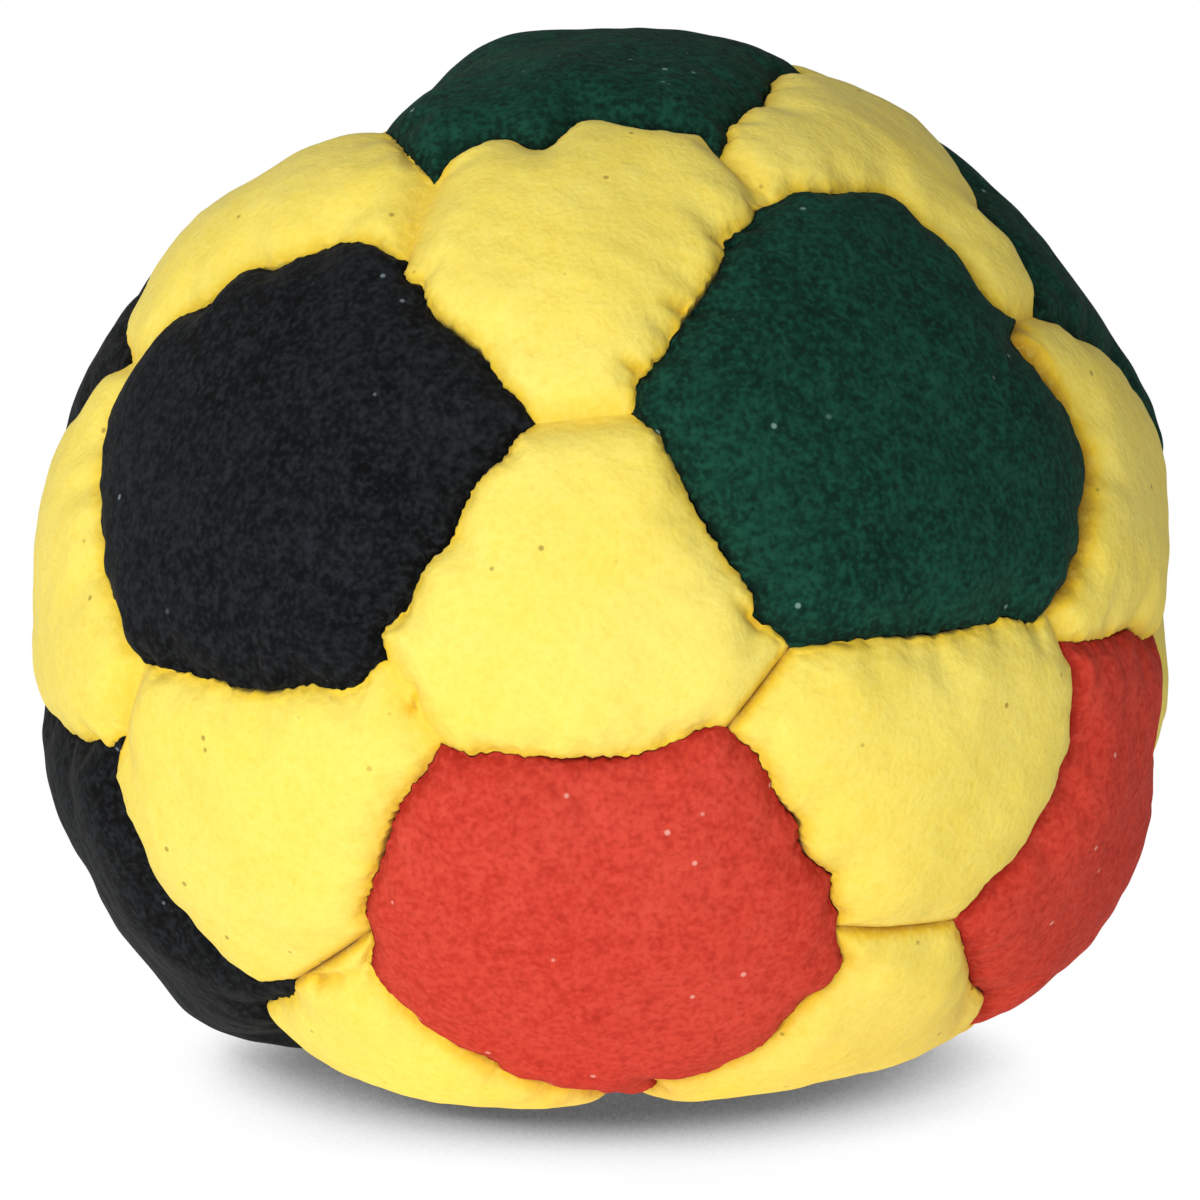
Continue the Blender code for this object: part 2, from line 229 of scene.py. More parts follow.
# How a long seam wanders: share of the way along it, and millimetres away from its five-sided panel.
# A seam is named by that panel and by the two panels its ends point at, anticlockwise.
SEAM_STRAYS = {
    ("black_left", "black_front_left", "green_top"): (
        (0, 0), (0.2, -1.7), (0.3, -1.5), (0.5, -1.9), (0.8, -1.2), (1, 0),
    ),
    ("black_left", "black_lower_left", "black_front_left"): (
        (0, 0), (0.3, -1.6), (0.55, -2), (0.8, -1.3), (1, 0),
    ),
    ("green_right", "green_front_right", "red_right"): (
        (0, 0), (0.15, -0.7), (0.3, -2), (0.5, -3), (0.75, -2), (1, 0),
    ),
    ("black_front_left", "green_top", "black_left"): (
        (0, 0), (0.15, 1.5), (0.25, 1.8), (0.45, 1.4), (0.55, 2.1), (0.6, 2.1), (0.65, 1.4), (0.7, 1),
        (0.8, 1.4), (0.9, 1.1), (0.95, 0.1), (1, 0),
    ),
    ("black_front_left", "black_left", "black_lower_left"): (
        (0, 0), (0.1, 1.7), (0.2, 2.3), (0.3, 1.9), (0.35, 2.3), (0.45, 1.5), (0.5, 1.7), (0.6, 1.4),
        (0.65, 2), (0.7, 1.5), (0.85, 0.8), (0.95, 0.7), (1, 0),
    ),
    ("black_front_left", "black_lower_left", "red_front"): (
        (0, 0), (0.2, 0.3), (0.55, 1.3), (0.7, 0.9), (0.85, 1.2), (0.95, 0.8), (1, 0),
    ),
    ("black_front_left", "red_front", "green_front_right"): (
        (0, 0), (0.05, -1.1), (0.15, -0.4), (0.2, -0.3), (0.3, -0.4), (0.35, -0.7), (0.5, -0.2),
        (0.7, -0.7), (0.85, -0.2), (0.95, -0.4), (1, 0),
    ),
    ("black_front_left", "green_front_right", "green_top"): (
        (0, 0), (0.1, 0.1), (0.2, -0.2), (0.4, 0), (0.6, -0.6), (0.75, -0.6), (0.85, -0.2), (0.95, -1),
        (1, 0),
    ),
    ("green_front_right", "black_front_left", "red_front"): (
        (0, 0), (0.1, -0.4), (0.4, 0.2), (0.65, 0.3), (0.75, 0.1), (0.85, 0.7), (0.95, 0), (1, 0),
    ),
    ("green_front_right", "red_front", "red_right"): (
        (0, 0), (0.3, 0), (0.5, 0.3), (0.75, 0.2), (0.8, 0), (0.95, 0.8), (1, 0),
    ),
    ("green_front_right", "red_right", "green_right"): (
        (0, 0), (0.05, 0.8), (0.15, 1.3), (0.2, 1.8), (0.35, 2.1), (0.4, 2.6), (0.45, 2.6), (0.5, 3.1),
        (0.55, 2.9), (0.6, 2.2), (0.65, 2.3), (0.7, 2), (0.75, 0.9), (0.8, 0.3), (0.85, -0.2), (0.9, -0.9),
        (0.95, -1.3), (1, 0),
    ),
    ("green_front_right", "green_right", "green_top"): (
        (0, 0), (0.05, -0.2), (0.15, -0.1), (0.25, 1.3), (0.35, 2.2), (0.4, 2), (0.45, 2.3), (0.5, 3.3),
        (0.55, 3.8), (0.65, 2.8), (0.7, 2.6), (0.75, 2.1), (0.85, 1.5), (0.95, 1.2), (1, 0),
    ),
    ("green_front_right", "green_top", "black_front_left"): (
        (0, 0), (0.05, 0.7), (0.1, 0.1), (0.15, 0.1), (0.25, 0.7), (0.3, 0.3), (0.4, 0.1), (0.7, 0.2),
        (0.75, 0), (0.9, 0.5), (1, 0),
    ),
    ("red_front", "black_lower_left", "red_base"): (
        (0, 0), (0.05, 1.1), (0.15, 1.6), (0.35, 1.1), (0.5, 0.2), (0.55, 0.2), (0.65, -0.5), (0.7, -0.4),
        (0.75, -1), (1, 0),
    ),
    ("red_front", "red_base", "red_right"): (
        (0, 0), (0.2, -0.4), (0.25, -1.8), (0.4, 0.6), (0.45, 0.5), (0.55, 1), (0.75, 1), (0.85, 1.7),
        (0.95, 1.3), (1, 0),
    ),
    ("red_front", "red_right", "green_front_right"): (
        (0, 0), (0.05, 0.7), (0.1, 0.3), (0.15, 0.3), (0.25, 0.9), (0.3, 0.5), (0.4, 0.2), (0.45, 0.2),
        (0.5, 0.8), (0.6, 0.4), (0.85, 0.5), (0.9, 0.2), (1, 0),
    ),
    ("red_front", "green_front_right", "black_front_left"): (
        (0, 0), (0.05, 0.2), (0.3, -0.8), (0.4, -0.9), (0.6, -0.8), (0.85, -0.3), (0.9, -0.5), (0.95, -0.4),
        (1, 0),
    ),
    ("red_front", "black_front_left", "black_lower_left"): (
        (0, 0), (0.15, 0.1), (0.25, 0.5), (0.4, 0.7), (0.95, 0.5), (1, 0),
    ),
    ("green_top", "black_front_left", "green_front_right"): (
        (0, 0), (0.05, -1.5), (0.1, -1.2), (0.15, -1.4), (0.2, -1.9), (0.25, -1.9), (0.35, -0.6),
        (0.4, -0.5), (0.5, -2), (0.55, -2.5), (0.65, -2.1), (0.75, -1.4), (0.8, -1.4), (0.9, -1),
        (0.95, -1.9), (1, 0),
    ),
    ("green_top", "green_front_right", "green_right"): (
        (0, 0), (0.1, -0.2), (0.15, -0.5), (0.35, -0.4), (0.4, -0.1), (0.75, -1), (1, 0),
    ),
    ("green_top", "black_left", "black_front_left"): (
        (0, 0), (0.21, -0.8), (0.85, 0), (1, 0),
    ),
    ("red_right", "green_front_right", "red_front"): (
        (0, 0), (0.05, -0.9), (0.1, -0.9), (0.25, -1.8), (0.3, -2.3), (0.4, -2.1), (0.45, -2.2),
        (0.6, -1.6), (0.65, -1.7), (0.9, -0.2), (1, 0),
    ),
    ("red_right", "red_front", "red_base"): (
        (0, 0), (0.45, -0.1), (0.55, -0.4), (0.6, -0.9), (1, 0),
    ),
    ("black_lower_left", "red_front", "black_front_left"): (
        (0, 0), (0.05, -2.4), (0.1, -1.5), (0.25, -2.7), (0.3, -2.6), (0.4, -3), (0.6, -2.9), (0.65, -2.3),
        (0.8, -2.3), (0.85, -2), (0.9, -2.2), (0.95, -2.7), (1, 0),
    ),
    ("black_lower_left", "black_front_left", "black_left"): (
        (0, 0), (0.05, -0.6), (0.1, -0.7), (0.2, -0.5), (0.3, -0.9), (0.4, -0.8), (0.45, -1.1), (1, 0),
    ),
    ("black_lower_left", "red_base", "red_front"): (
        (0, 0), (0.21, -1), (0.6, -0.7), (0.65, -1.7), (0.7, -1.6), (0.9, 0), (1, 0),
    ),
    ("green_right", "green_top", "green_front_right"): (
        (0, 0), (0.4, -0.35), (0.5, 0.15), (0.55, 0.55), (0.6, 0.95), (0.65, 0.95), (0.7, 0.6),
        (0.75, 0.1), (0.85, -0.1), (1, 0),
    ),
    ("red_right", "green_right", "green_front_right"): (
        (0, 0), (0.1, -0.25), (0.2, -0.35), (0.3, -0.1), (0.45, 0.3), (0.55, 0.2), (0.7, 0),
        (0.85, -0.15), (1, 0),
    ),
    ("red_right", "black_back_right", "green_right"): (
        (0, 0), (0.3, -0.5), (0.5, -1.2), (0.75, -2.3), (0.9, -2.1), (1, 0),
    ),
}

# Wrinkles and deep stitches: towards the right, back and top at one end and at the other
WRINKLES = (
    ((0.23, -0.63, 0.75), (0.17, -0.64, 0.75)),
    ((0.16, -0.75, 0.65), (0.09, -0.755, 0.66)),
    ((0.075, -0.83, 0.55), (0.02, -0.83, 0.575)),
    ((0.27, -0.96, 0.14), (0.21, -0.96, 0.19)),
    ((-0.325, -0.95, -0.01), (-0.315, -0.95, 0.05)),
    ((-0.50, -0.67, -0.55), (-0.39, -0.78, -0.49)),
)
WRINKLE_DEPTH = 0.6 * MM
WRINKLE_WIDTH = 0.32 * MM
WRINKLE_SHADE = 1.6  # how much painted shade darkens it, as along a seam

# Light
WORLD_LIGHT = (0.50, 0.12)  # from the left and from the right
FLOOR_BOUNCE = 0.9  # how much of the light the table gives back to the ball
TABLE_GLOW = 0.36  # the table is lit from below too
# The painted shadow that the camera sees on the table
SHADOW_REACH = 30 * MM  # how far off the ball still shades the table
SHADOW_LEAN = math.radians(35)  # the ball's shade falls towards the front
DARKEST_SHADE = (0.08, 0.04)  # how open the table is above, and how bright it looks there
FULL_WHITE = (0.345, 1.0)
TABLE_SIZE = 6
TABLE_DROP = 0.02 * MM  # so that the ball's flat bottom doesn't flicker
LAMP_DISTANCE = 0.6
LAMP_SIZE = 0.35

# Camera
CAMERA_RISE = math.radians(10)
CAMERA_DISTANCE = 14 * SEAM_RADIUS
CAMERA_LENS = 225.5
CAMERA_SHIFT = (-0.0008, 0.005)

rng = np.random.default_rng(32)


def unit(vectors):
    """Each vector divided by its length."""
    return vectors / np.linalg.norm(vectors, axis=-1, keepdims=True)


def turned(vector, angle, axis):
    """The vector turned about a unit axis: v cos a + (k x v) sin a + k (k.v)(1 - cos a)."""
    return (
        vector * math.cos(angle)
        + np.cross(axis, vector) * math.sin(angle)
        + axis * (vector @ axis) * (1 - math.cos(angle))
    )


def pentagon_directions():
    """One direction on top, two staggered rings of five, and one below, turned and leant over."""
    directions = {"green_top": (0, 0, 1), "red_base": (0, 0, -1)}
    for step, (upper, lower) in enumerate(zip(UPPER_RING, LOWER_RING)):
        for name, turn, side in ((upper, step, 1), (lower, step + 0.5, -1)):
            directions[name] = (
                math.cos(RING_LATITUDE) * math.cos(turn * RING_STEP),
                math.cos(RING_LATITUDE) * math.sin(turn * RING_STEP),
                math.sin(RING_LATITUDE) * side,
            )
    up, across = np.array((0.0, 0, 1)), np.array((0.0, 1, 0))
    return {
        name: turned(turned(np.array(d, float), PATCHWORK_TURN, up), -PATCHWORK_LEAN, across)
        for name, d in directions.items()
    }


PENTAGONS = pentagon_directions()


def neighbours(name):
    """The five nearest five-sided panels, anticlockwise as seen from outside."""
    middle = PENTAGONS[name]
    near = [other for other in PENTAGONS if other != name and middle @ PENTAGONS[other] > 0]
    side = PENTAGONS[near[0]] - middle * (middle @ PENTAGONS[near[0]])
    left = np.cross(middle, side)
    return sorted(near, key=lambda other: math.atan2(left @ PENTAGONS[other], side @ PENTAGONS[other]))


def corner(name, other):
    """Direction of the five-sided panel's corner that points at the other one."""
    middle = PENTAGONS[name]
    axis = unit(np.cross(middle, PENTAGONS[other]))
    right, up = CORNER_SHIFTS.get((name, other), (0, 0))
    return unit(turned(middle, CORNER_ANGLE, axis) + np.array((right, 0, up)))


def arc(start, end, shares):
    """Great-circle arc: sin((1 - t) w) a / sin w + sin(t w) b / sin w."""
    angle = math.acos(start @ end)
    t = shares[:, None]
    return (np.sin((1 - t) * angle) * start + np.sin(t * angle) * end) / math.sin(angle)


def smoothed(values, width):
    """A row of values averaged over a bell of that many steps, its ends held."""
    reach = int(3 * width) + 1
    bell = np.exp(-0.5 * (np.arange(-reach, reach + 1) / width) ** 2)
    padded = np.concatenate([np.full(reach, values[0]), values, np.full(reach, values[-1])])
    return np.convolve(padded, bell / bell.sum(), mode="valid")


ALONG = np.linspace(0, 1, SEAM_POINTS)
STRAY_FADE = np.minimum(1, STRAY_RISE * ALONG * (1 - ALONG))
LONG_SEAMS = {}
STITCHES = {}  # the point and the pull of each stitch of a long seam


def unseen_stray():
    """Scallops between the stitches: |sin(pi n t + phase)|^bluntness, uneven in height, on a drift d sin(pi t)."""
    lobes = rng.uniform(*SCALLOP_COUNT)
    knots = np.linspace(0, 1, SCALLOP_KNOTS)
    heights = np.interp(ALONG, knots, rng.uniform(*SCALLOP_HEIGHT, SCALLOP_KNOTS))
    phase = rng.uniform(0, math.pi)
    drift = rng.uniform(-SEAM_DRIFT, SEAM_DRIFT) * np.sin(math.pi * ALONG)
    scallops = np.abs(np.sin(math.pi * lobes * ALONG + phase)) ** SCALLOP_BLUNTNESS
    return (-scallops * heights + drift) * np.minimum(1, SCALLOP_RISE * ALONG * (1 - ALONG))


def stitches_along(seam, stray):
    """The seam's stitches, where its stray is highest, each with its pull: how far it stands out there."""
    high = np.nonzero((stray[1:-1] > stray[:-2]) & (stray[1:-1] >= stray[2:]))[0] + 1
    before = stray[np.maximum(high - STITCH_REACH, 0)]
    after = stray[np.minimum(high + STITCH_REACH, SEAM_POINTS - 1)]
    pull = np.clip((stray[high] - (before + after) / 2) / FULL_PULL, 0, 1)
    return np.column_stack([seam[high], pull])


def long_seam(name, first, second):
    """The arc between two corners of a five-sided panel, moved across itself by its stray."""
    key = (name, first, second)
    if key not in LONG_SEAMS:
        start, end = corner(name, first), corner(name, second)
        if key in SEAM_STRAYS:
            shares, strays = np.array(SEAM_STRAYS[key]).T
            stray = np.interp(ALONG, shares, strays)
        else:
            stray = unseen_stray()
        stray = smoothed(stray, STRAY_BLUR) * STRAY_FADE
        outwards = -unit(np.cross(start, end))
        LONG_SEAMS[key] = unit(arc(start, end, ALONG) + outwards * (stray * MM / SEAM_RADIUS)[:, None])
        STITCHES[key] = stitches_along(LONG_SEAMS[key], stray)
    return LONG_SEAMS[key]


def pentagon_sides(name):
    """The five sides of a five-sided panel, anticlockwise, how each lip rounds over, and its stitches."""
    ring = neighbours(name)
    keys = [(name, first, second) for first, second in zip(ring, ring[1:] + ring[:1])]
    sides = [long_seam(*key) for key in keys]
    return sides, [LIP] * 5, np.vstack([STITCHES[key] for key in keys])


def hexagon_sides(name):
    """The same of a six-sided panel: three times a long seam run backwards, then a short one."""
    around = HEXAGONS[name]
    sides, lips, stitches = [], [], []
    for place, own in enumerate(around):
        following, previous = around[(place + 1) % 3], around[place - 1]
        crisp = {(own, following), (following, own)} & CRISP_FOLDS
        sides.append(long_seam(own, following, previous)[::-1])
        sides.append(arc(corner(own, following), corner(following, own), ALONG))
        shaded = (own, following, previous) in SHADED_SEAMS
        lips += [SHADED_LIP if shaded else LIP, CRISP_FOLD if crisp else FOLD]
        stitches.append(STITCHES[(own, following, previous)])
    return sides, lips, np.vstack(stitches)


def cover_radius(directions):
    """A lumpy sphere pressed flat below: r (1 + (down / press)^k)^(-1/k)."""
    swell = np.ones(len(directions))
    for right, back, up, width, height in LUMPS:
        swell += height * np.exp((directions @ unit(np.array((right, back, up))) - 1) / width)
    radius = BALL_RADIUS * swell
    pressed = np.maximum(0, -directions @ FOOT_LEAN) * radius / PRESS_DISTANCE
    return radius * (1 + pressed**PRESS_SHARPNESS) ** (-1 / PRESS_SHARPNESS)


def seam_distances(directions, sides):
    """Distance over the curve from each point to each side: the nearest of the side's own points."""
    nearest = np.stack([(directions @ side.T).max(axis=1) for side in sides])
    return SEAM_RADIUS * np.arccos(np.clip(nearest, -1, 1))


def lip(distance, width, bluntness):
    """How far a lip has risen at that distance from its seam, from 0 to 1: (1 - (1 - d / w)^2)^bluntness."""
    return (1 - (1 - np.minimum(distance / width, 1)) ** 2) ** bluntness


def soft_least(rows, sharpness):
    """The least of several rows of heights, rounded where two are alike: mean(h^-k)^(-1/k)."""
    h = np.maximum(rows, 1e-3)
    least = h.min(axis=0)
    return least * ((h / least) ** -sharpness).mean(axis=0) ** (-1 / sharpness)


def crown(directions, sides, lips, stitches):
    """Height above the seams: lips that round over, dips at the stitches, and a flat dome in the middle."""
    distances = seam_distances(directions, sides)
    edge = soft_least(np.stack([lip(d, *shape[:2]) for d, shape in zip(distances, lips)]), LIP_MEETING)
    dome = soft_least(np.stack([lip(d, DOME_REACH, 1) for d in distances]), DOME_MEETING)
    return LIP_RISE * edge * (1 - STITCH_DIP * pucker(directions, stitches, distances)) + DOME_RISE * dome


def pucker(directions, stitches, distances):
    """Folds that run in from the stitches: pull exp(-(r / w)^2) exp(-(d / l)^2), wider the further in."""
    near = distances.min(axis=0)
    cosines = directions @ stitches[:, :3].T
    from_stitch = SEAM_RADIUS * np.arccos(np.clip(cosines.max(axis=1), -1, 1))
    pull = stitches[cosines.argmax(axis=1), 3]
    across = np.sqrt(np.maximum(from_stitch**2 - near**2, 0))
    width = STITCH_WIDTH + PUCKER_SPREAD * near
    return pull * np.exp(-((across / width) ** 2) - (near / PUCKER_LENGTH) ** 2)


def wrinkled(directions):
    """How deep a point lies in a wrinkle: (1 - s) exp(-(d / w)^2) at the share s of its length, d beside it."""
    depth = np.zeros(len(directions))
    for first, last in WRINKLES:
        start, way = unit(np.array(first)), unit(np.array(last)) - unit(np.array(first))
        share = np.clip((directions - start) @ way / (way @ way), 0, 1)
        away = SEAM_RADIUS * np.linalg.norm(directions - start - share[:, None] * way, axis=1)
        depth = np.maximum(depth, (1 - share) * np.exp(-((away / WRINKLE_WIDTH) ** 2)))
    return depth


def sector(before, after, middle, rows_before, rows_after):
    """A corner's share of a panel: a Coons patch between half of each side and two lines to the middle.

    Sum of the two ruled surfaces less the bilinear one, over a (along the side after the corner) and b.
    """
    a, b = np.array(rows_after)[:, None, None], np.array(rows_before)[None, :, None]
    half = (len(ALONG) - 1) / 2

    def along(side, shares):
        """Points of a side at shares of its first half."""
        place = np.arange(len(side))
        return np.stack([np.interp(np.array(shares) * half, place, side[:, axis]) for axis in range(3)], axis=1)

    side_after = along(after, rows_after)[:, None]
    side_before = along(before[::-1], rows_before)[None, :]
    origin, end_after, end_before = after[0], after[int(half)], before[int(half)]
    across_after = end_before * (1 - a) + middle * a
    across_before = end_after * (1 - b) + middle * b
    ruled = side_after * (1 - b) + across_after * b + side_before * (1 - a) + across_before * a
    corners = origin * (1 - a) * (1 - b) + end_after * a * (1 - b) + end_before * (1 - a) * b + middle * a * b
    return unit(ruled - corners)


def panel_grid(sides):
    """Directions and four-sided faces of a whole panel: one sector at each corner."""
    middle = unit(sum(side.mean(axis=0) for side in sides))
    even = len(sides) == 5
    points, faces, count = [], [], 0
    for place, after in enumerate(sides):
        before = sides[place - 1]
        long_after = even or place % 2 == 0
        rows_after = LONG_ROWS if long_after else SHORT_ROWS
        rows_before = LONG_ROWS if even or not long_after else SHORT_ROWS
        patch = sector(before, after, middle, rows_before, rows_after)
        wide, high = patch.shape[:2]
        index = count + np.arange(wide * high).reshape(wide, high)
        corners = (index[:-1, :-1], index[1:, :-1], index[1:, 1:], index[:-1, 1:])
        faces.append(np.stack([c.ravel() for c in corners], axis=1))
        points.append(patch.reshape(-1, 3))
        count += wide * high
    return np.vstack(points), np.vstack(faces)


def mesh_from(name, points, faces, merge):
    """A mesh of those points and faces, with points nearer to each other than that distance merged."""
    mesh = bpy.data.meshes.new(name)
    mesh.from_pydata(points.tolist(), [], faces.tolist())
    bm = bmesh.new()
    bm.from_mesh(mesh)
    bmesh.ops.remove_doubles(bm, verts=bm.verts, dist=merge)
    bm.to_mesh(mesh)
    bm.free()
    return mesh


def coordinates(mesh):
    """The mesh's points as rows."""
    flat = np.empty(len(mesh.vertices) * 3)
    mesh.vertices.foreach_get("co", flat)
    return flat.reshape(-1, 3)


def face_corners(mesh):
    """The four points of each of the mesh's faces, one face a row."""
    corners = np.empty(len(mesh.polygons) * 4, int)
    mesh.polygons.foreach_get("vertices", corners)
    return corners.reshape(-1, 4)


def outline_of(sides):
    """A panel's sides as one closed row of directions, the way into the panel, and how free each point is.

    A point is free, 1, along a long seam, and held, 0, at its ends and along a short one.
    """
    outline = np.vstack([side[:-1] for side in sides])
    inwards = unit(np.cross(np.roll(outline, 1, axis=0), np.roll(outline, -1, axis=0)))
    is_long = [len(sides) == 5 or place % 2 == 0 for place in range(len(sides))]
    return outline, inwards, np.concatenate([STRAY_FADE[:-1] * shown for shown in is_long])


def kept_inside(directions, sides):
    """Directions moved into their own panel where they lie nearer its seams than half the gap."""
    outline, inwards, free = outline_of(sides)
    nearest = (directions @ outline.T).argmax(axis=1)
    inside = SEAM_RADIUS * (directions * inwards[nearest]).sum(axis=1)
    short = np.maximum(0, free[nearest] * SEAM_GAP / 2 - inside)
    return unit(directions + inwards[nearest] * (short / SEAM_RADIUS)[:, None])


WAVE_COUNT = 16  # in each of three sets, for broad, middling and fine unevenness
WAVES = rng.normal(size=(3 * WAVE_COUNT, 3)).reshape(3, WAVE_COUNT, 3)
WAVE_STARTS = rng.uniform(0, 2 * math.pi, 3 * WAVE_COUNT).reshape(3, WAVE_COUNT)


def unevenness(points, length, fineness):
    """A smooth random field: sqrt(2 / n) times the sum of n cosines of that wave length, in random directions."""
    ways = unit(WAVES[fineness]) * (2 * math.pi / length)
    return np.cos(points @ ways.T + WAVE_STARTS[fineness]).sum(axis=1) * math.sqrt(2 / WAVE_COUNT)


def frayed(directions, sides):
    """Directions near a long seam moved across it, the same way on both its panels, by a fine unevenness."""
    outline, inwards, free = outline_of(sides)
    cosines = directions @ outline.T
    nearest = cosines.argmax(axis=1)
    near = SEAM_RADIUS * np.arccos(np.clip(cosines.max(axis=1), -1, 1))
    to_hexagon = 1 if len(sides) == 6 else -1
    fine = unevenness(outline * SEAM_RADIUS, FRAY_PITCH, 2)
    broad = unevenness(outline * SEAM_RADIUS, FRAY_PITCH * BROAD_FRAY[0], 0)
    waver = to_hexagon * FRAY * free * (fine + BROAD_FRAY[1] * broad)
    shift = waver[nearest] * np.exp(-((near / FRAY_REACH) ** 2)) / SEAM_RADIUS
    return unit(directions + inwards[nearest] * shift[:, None])


def panel_mesh(name, sides, lips, stitches):
    """A panel's even shape: tucked edge, rounded lip and low dome, centred on the ball's middle."""
    directions, faces = panel_grid(sides)
    distances = seam_distances(directions, sides)
    tuck = np.max([(d < ON_SEAM) * shape[2] for d, shape in zip(distances, lips)], axis=0)
    directions = kept_inside(directions, sides)
    height = crown(directions, sides, lips, stitches) - TUCK_DEPTH * tuck
    radius = cover_radius(directions) - CROWN_HEIGHT + SEAM_LIFT + height
    return mesh_from(name, directions * radius[:, None], faces, MERGE_DISTANCE)


def simulated(points, faces, sewn):
    """Where the points of a cloth end up when its sewn points are held and pressure pushes from inside.

    The cloth is simulated forty times as large, where the solver is steady.
    """
    mesh = bpy.data.meshes.new("cloth")
    mesh.from_pydata((points * CLOTH_SCALE).tolist(), [], faces.tolist())
    cloth = bpy.data.objects.new("cloth", mesh)
    bpy.context.scene.collection.objects.link(cloth)
    group = cloth.vertex_groups.new(name="sewn")
    group.add(np.nonzero(sewn)[0].tolist(), 1.0, "REPLACE")
    modifier = cloth.modifiers.new("cloth", "CLOTH")
    settings = modifier.settings
    settings.vertex_group_mass = "sewn"
    settings.quality = CLOTH_QUALITY
    settings.mass = CLOTH_MASS
    settings.tension_stiffness = settings.compression_stiffness = CLOTH_STRETCH
    settings.shear_stiffness = CLOTH_SHEAR
    settings.bending_stiffness = CLOTH_BENDING
    settings.use_pressure = True
    settings.uniform_pressure_force = CLOTH_PRESSURE
    settings.shrink_min = -SUEDE_FULLNESS
    settings.effector_weights.gravity = 0
    modifier.point_cache.frame_start, modifier.point_cache.frame_end = 1, CLOTH_FRAMES
    for step in range(1, CLOTH_FRAMES + 1):
        bpy.context.scene.frame_set(step)
    swollen = coordinates(cloth.evaluated_get(bpy.context.evaluated_depsgraph_get()).data) / CLOTH_SCALE
    bpy.data.objects.remove(cloth)
    return swollen


def filled_out(meshes, outlines):
    """Swells all panels together as cloth: edges sewn down, suede a little full, pellets pushing from inside.

    A point's way is held below the cap by cap * tanh(way / cap), and fades towards a short seam.
    """
    starts = np.concatenate([[0], np.cumsum([len(mesh.vertices) for mesh in meshes])])
    points = np.vstack([coordinates(mesh) for mesh in meshes])
    faces = np.vstack([face_corners(mesh) + first for mesh, first in zip(meshes, starts)])
    near = [seam_distances(unit(coordinates(mesh)), sides).min(axis=0) for mesh, sides in zip(meshes, outlines)]
    way = simulated(points, faces, np.concatenate(near) < SEWN_WIDTH) - points
    length = np.maximum(np.linalg.norm(way, axis=1), 1e-9)[:, None]
    way *= CLOTH_CAP * np.tanh(length / CLOTH_CAP) / length
    for mesh, sides, first, last in zip(meshes, outlines, starts, starts[1:]):
        laid = points[first:last]
        moved = laid + way[first:last]
        if len(sides) == 6:
            from_folds = seam_distances(unit(laid), sides[1::2]).min(axis=0)
            moved -= way[first:last] * np.exp(-((from_folds / FOLD_STEADY) ** 2))[:, None]
        radius = np.linalg.norm(moved, axis=1)[:, None]
        mesh.vertices.foreach_set("co", (kept_inside(unit(moved), sides) * radius).ravel())


def inner_wall(mesh, middle):
    """The suede's inner side: the panel's points moved inwards, and towards its middle for an edge wall."""
    points = coordinates(mesh)
    radius = np.linalg.norm(points, axis=1)[:, None] - SUEDE_THICKNESS
    return unit(unit(points) * (1 - WALL_SHARE) + middle * WALL_SHARE) * radius


def closed_shell(outer, inner):
    """Joins the fine outer side and the coarse inner one along their edges."""
    bm = bmesh.new()
    bm.from_mesh(outer)
    own = len(bm.faces)
    bm.from_mesh(inner)
    bm.faces.ensure_lookup_table()
    bmesh.ops.reverse_faces(bm, faces=bm.faces[own:])
    bmesh.ops.bridge_loops(bm, edges=[edge for edge in bm.edges if edge.is_boundary])
    shell = bpy.data.meshes.new(outer.name)
    bm.to_mesh(shell)
    bm.free()
    return shell


def suede_lift(points, sides, stitches):
    """How far the suede stands out: three sizes of unevenness, less folds and wrinkles, and none on a seam."""
    away = unit(points)
    distances = seam_distances(away, sides)
    near = distances.min(axis=0)
    (fill_length, fill_height), (hand_length, hand_height) = FILLING, HANDLING
    lift = fill_height * unevenness(points, fill_length, 0) + hand_height * unevenness(points, hand_length, 1)
    lift += GATHERS[1] * unevenness(points, GATHERS[0], 2) * np.exp(-near / GATHER_REACH)
    lift -= PUCKER_DEPTH * pucker(away, stitches, distances) + WRINKLE_DEPTH * wrinkled(away)
    return lift * np.minimum(1, near / STEADY_REACH)


def crease_of(points, sides, lips):
    """How much painted shade a point gets in a crease, from 0 to 2: the most of a exp(-(d / r)^2) over seams and
    wrinkles.
    """
    away = unit(points)
    distances = seam_distances(away, sides)
    reach, most = np.array(lips).T[3:, :, None]
    return np.maximum((most * np.exp(-((distances / reach) ** 2))).max(axis=0), WRINKLE_SHADE * wrinkled(away))


def finished_panel(mesh, sides, lips, stitches):
    """A panel with finer faces and uneven suede, closed by its inner side and set on the ground."""
    name = mesh.name
    middle = unit(sum(side.mean(axis=0) for side in sides))
    inner = mesh.copy()
    inner.vertices.foreach_set("co", inner_wall(mesh, middle).ravel())
    piece = bpy.data.objects.new(name, mesh)
    bpy.context.scene.collection.objects.link(piece)
    finer = piece.modifiers.new("finer", "SUBSURF")
    finer.levels = finer.render_levels = FINER_LEVELS
    shaped = bpy.data.meshes.new_from_object(piece.evaluated_get(bpy.context.evaluated_depsgraph_get()))
    points = coordinates(shaped)
    radius = np.linalg.norm(points, axis=1) + suede_lift(points, sides, stitches)
    points = frayed(kept_inside(unit(points), sides), sides) * radius[:, None]
    shaped.vertices.foreach_set("co", points.ravel())
    shell = closed_shell(shaped, inner)
    points = coordinates(shell)
    # the painted shade that darkens the suede in its seams, folds and wrinkles
    crease = shell.attributes.new("crease", "FLOAT", "POINT")
    crease.data.foreach_set("value", crease_of(points, sides, lips))
    points[:, 2] = np.maximum(points[:, 2] + CENTRE_HEIGHT, 0)
    shell.vertices.foreach_set("co", points.ravel())
    shell.shade_smooth()
    piece.modifiers.clear()
    piece.data = shell
    return piece


